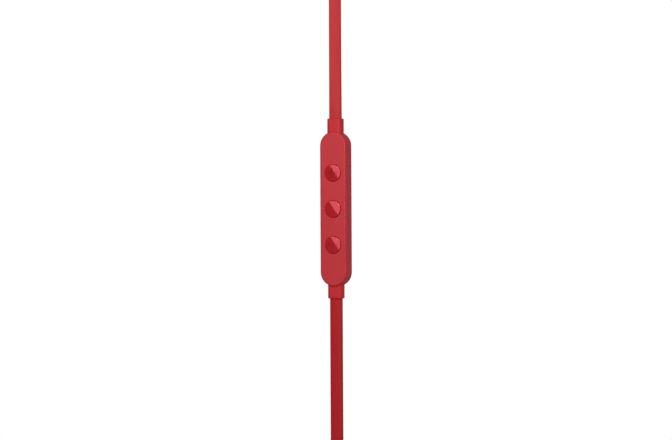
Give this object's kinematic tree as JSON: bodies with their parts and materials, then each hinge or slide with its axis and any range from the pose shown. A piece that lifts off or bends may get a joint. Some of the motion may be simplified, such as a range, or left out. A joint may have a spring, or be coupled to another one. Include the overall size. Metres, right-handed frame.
{
  "type": "wired earphones",
  "caption": "In-ear earphones with a flat red cord, a slim in-line remote with round buttons, a splitter and a jack plug, the spare cord folded into a tied hank.",
  "frame": {"origin": "middle of the flat back of the in-line remote, which lies on the surface z = 0", "axes": "+Y along the remote towards the right earbud, +Z out of the buttons, +X to the right when the buttons face the viewer and +Y is up"},
  "size_m": [0.0315, 0.2823, 0.0125],
  "materials": {
    "shell_red": "soft-touch matte red moulded plastic",
    "button_red": "high-gloss red plastic",
    "sleeve_red": "satin red elastomer",
    "cord_red": "satin red elastomer jacket on a flat cord",
    "silicone_grey": "matte translucent grey silicone",
    "board_green": "green solder mask on glass-fibre board",
    "plastic_black": "black moulded plastic",
    "strap_black": "matte black elastomer strap",
    "steel": "bright nickel-plated steel",
    "gold": "gold-plated contact",
    "copper": "bare copper wire",
    "film": "thin polymer film"
  },
  "bodies": {
    "earphones": {"button_pad": "silicone_grey", "centre_switch": "steel", "circuit_board": "board_green", "control_chip": "plastic_black", "cord_splitter": "sleeve_red", "hank_tie": "strap_black", "left_cord_end": "cord_red", "left_cord_hank": "cord_red", "left_cord_tail": "cord_red", "left_driver_diaphragm": "film", "left_driver_frame": "plastic_black", "left_driver_magnet": "steel", "left_earbud_strain_relief": "sleeve_red", "left_front_housing": "shell_red", "left_nozzle_mesh": "steel", "left_rear_housing": "shell_red", "left_voice_coil": "copper", "lower_cord": "cord_red", "lower_inner_leads": "copper", "lower_strain_relief": "sleeve_red", "main_cord_end": "cord_red", "main_cord_hank": "cord_red", "main_cord_tail": "cord_red", "microphone_capsule": "steel", "microphone_mesh": "plastic_black", "plug_housing": "shell_red", "plug_insulator_1": "plastic_black", "plug_insulator_2": "plastic_black", "plug_insulator_3": "plastic_black", "plug_ring_1": "gold", "plug_ring_2": "gold", "plug_sleeve": "gold", "plug_strain_relief": "sleeve_red", "plug_tip": "gold", "remote_back_shell": "shell_red", "remote_front_shell": "shell_red", "right_driver_diaphragm": "film", "right_driver_frame": "plastic_black", "right_driver_magnet": "steel", "right_earbud_strain_relief": "sleeve_red", "right_front_housing": "shell_red", "right_nozzle_mesh": "steel", "right_rear_housing": "shell_red", "right_voice_coil": "copper", "upper_cord": "cord_red", "upper_inner_leads": "copper", "upper_strain_relief": "sleeve_red", "volume_down_switch": "steel", "volume_up_switch": "steel"},
    "volume_up_button": {"volume_up_button": "button_red"},
    "centre_button": {"centre_button": "button_red"},
    "volume_down_button": {"volume_down_button": "button_red"},
    "right_ear_tip": {"right_ear_tip": "silicone_grey"},
    "left_ear_tip": {"left_ear_tip": "silicone_grey"}
  },
  "joints": [
    {"name": "volume_up_press", "type": "slide", "parent": "earphones", "child": "volume_up_button", "axis": [0, 0, -1], "range_m": [0, 0.00025], "stiffness_N_per_m": 800},
    {"name": "centre_press", "type": "slide", "parent": "earphones", "child": "centre_button", "axis": [0, 0, -1], "range_m": [0, 0.00025], "stiffness_N_per_m": 800},
    {"name": "volume_down_press", "type": "slide", "parent": "earphones", "child": "volume_down_button", "axis": [0, 0, -1], "range_m": [0, 0.00025], "stiffness_N_per_m": 800},
    {"name": "right_ear_tip_pull", "type": "slide", "parent": "earphones", "child": "right_ear_tip", "axis": [0, -1, 0], "range_m": [0, 0.006]},
    {"name": "left_ear_tip_pull", "type": "slide", "parent": "earphones", "child": "left_ear_tip", "axis": [0, -1, 0], "range_m": [0, 0.006]}
  ]
}
